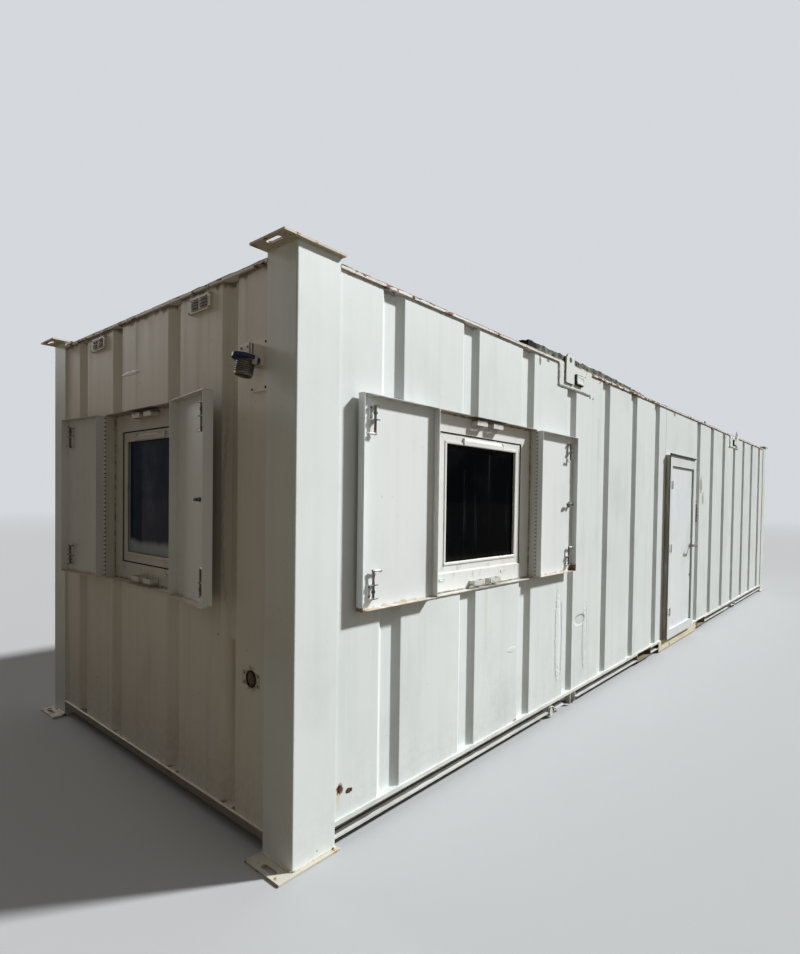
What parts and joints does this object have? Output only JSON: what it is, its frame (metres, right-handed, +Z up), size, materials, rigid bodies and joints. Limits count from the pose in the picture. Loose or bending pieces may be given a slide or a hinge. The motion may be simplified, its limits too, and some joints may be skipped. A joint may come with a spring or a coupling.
{
  "type": "portable site cabin",
  "caption": "Portable site cabin with ribbed steel walls on foot plates, lifting eyes, a hinged door and shuttered windows.",
  "frame": {"origin": "on the ground under the middle of the cabin's plan", "axes": "+X along the cabin, away from the end with the window; -Y out of the long front with the door; +Z up"},
  "size_m": [9.9456, 3.195, 2.7298],
  "materials": {
    "white_paint": "weathered semi-gloss paint",
    "plate_paint": "worn paint over rust",
    "shutter_paint": "weathered semi-gloss paint",
    "door_paint": "satin paint",
    "cover_paint": "worn cream paint",
    "roof_paint": "dirty matt paint",
    "underframe_steel": "primed steel",
    "floor_board": "plain boards",
    "ceiling_board": "smooth lining",
    "window_plastic": "moulded white",
    "window_glass": "clear",
    "handle_metal": "satin",
    "vent_metal": "louvred plate",
    "inlet_plastic": "moulded grey"
  },
  "bodies": {
    "cabin": {"foot_plates": "plate_paint", "top_plates": "plate_paint", "base_rail_front": "white_paint", "base_rail_back": "white_paint", "base_rails_ends": "white_paint", "fork_pockets": "white_paint", "floor_joists": "underframe_steel", "floor_deck": "floor_board", "top_rails": "white_paint", "roof_sheet": "roof_paint", "roof_joists": "underframe_steel", "ceiling": "ceiling_board", "door_frame": "door_paint", "rail_cover_plate": "cover_paint", "wall_vents": "vent_metal", "lifting_lugs_front": "white_paint", "lifting_lugs_back": "white_paint", "front_window_surround": "shutter_paint", "front_window_frame": "window_plastic", "front_window_glass": "window_glass", "end_window_surround": "shutter_paint", "end_window_frame": "window_plastic", "end_window_glass": "window_glass", "corner_post_front_left": "white_paint", "corner_post_front_right": "white_paint", "corner_post_back_left": "white_paint", "corner_post_back_right": "white_paint", "front_wall_left": "white_paint", "front_wall_window_bay": "white_paint", "front_wall_middle": "white_paint", "front_wall_over_door": "white_paint", "front_wall_right": "white_paint", "back_wall": "white_paint", "far_end_wall": "white_paint", "near_end_wall_back": "white_paint", "near_end_wall_window_bay": "white_paint", "near_end_wall_front": "white_paint", "inlet_housing": "inlet_plastic", "inlet_socket": "inlet_plastic"},
    "door": {"door_leaf": "door_paint"},
    "door_handle": {"door_handle": "handle_metal"},
    "front_shutter_left": {"front_shutter_left": "shutter_paint"},
    "front_shutter_right": {"front_shutter_right": "shutter_paint"},
    "end_shutter_left": {"end_shutter_left": "shutter_paint"},
    "end_shutter_right": {"end_shutter_right": "shutter_paint"}
  },
  "joints": [
    {"name": "door_hinge", "type": "hinge", "parent": "cabin", "child": "door", "pos_m": [-0.381, -1.5783, 1.121], "axis": [0, 0, -1], "range_deg": [0, 165]},
    {"name": "door_handle_turn", "type": "hinge", "parent": "door", "child": "door_handle", "pos_m": [0.332, -1.634, 1.115], "axis": [0, -1, 0], "range_deg": [0, 45], "stiffness_Nm_per_rad": 1, "springref_deg": -20.05},
    {"name": "front_shutter_left_hinge", "type": "hinge", "parent": "cabin", "child": "front_shutter_left", "pos_m": [-4.055, -1.5288, 1.589], "axis": [0, 0, 1], "range_deg": [0, 180]},
    {"name": "front_shutter_right_hinge", "type": "hinge", "parent": "cabin", "child": "front_shutter_right", "pos_m": [-3.035, -1.5288, 1.589], "axis": [0, 0, -1], "range_deg": [0, 180]},
    {"name": "end_shutter_left_hinge", "type": "hinge", "parent": "cabin", "child": "end_shutter_left", "pos_m": [-4.8818, 0.541, 1.589], "axis": [0, 0, 1], "range_deg": [-4.5, 175.5]},
    {"name": "end_shutter_right_hinge", "type": "hinge", "parent": "cabin", "child": "end_shutter_right", "pos_m": [-4.8818, -0.479, 1.589], "axis": [0, 0, -1], "range_deg": [-7.5, 172.5]}
  ]
}
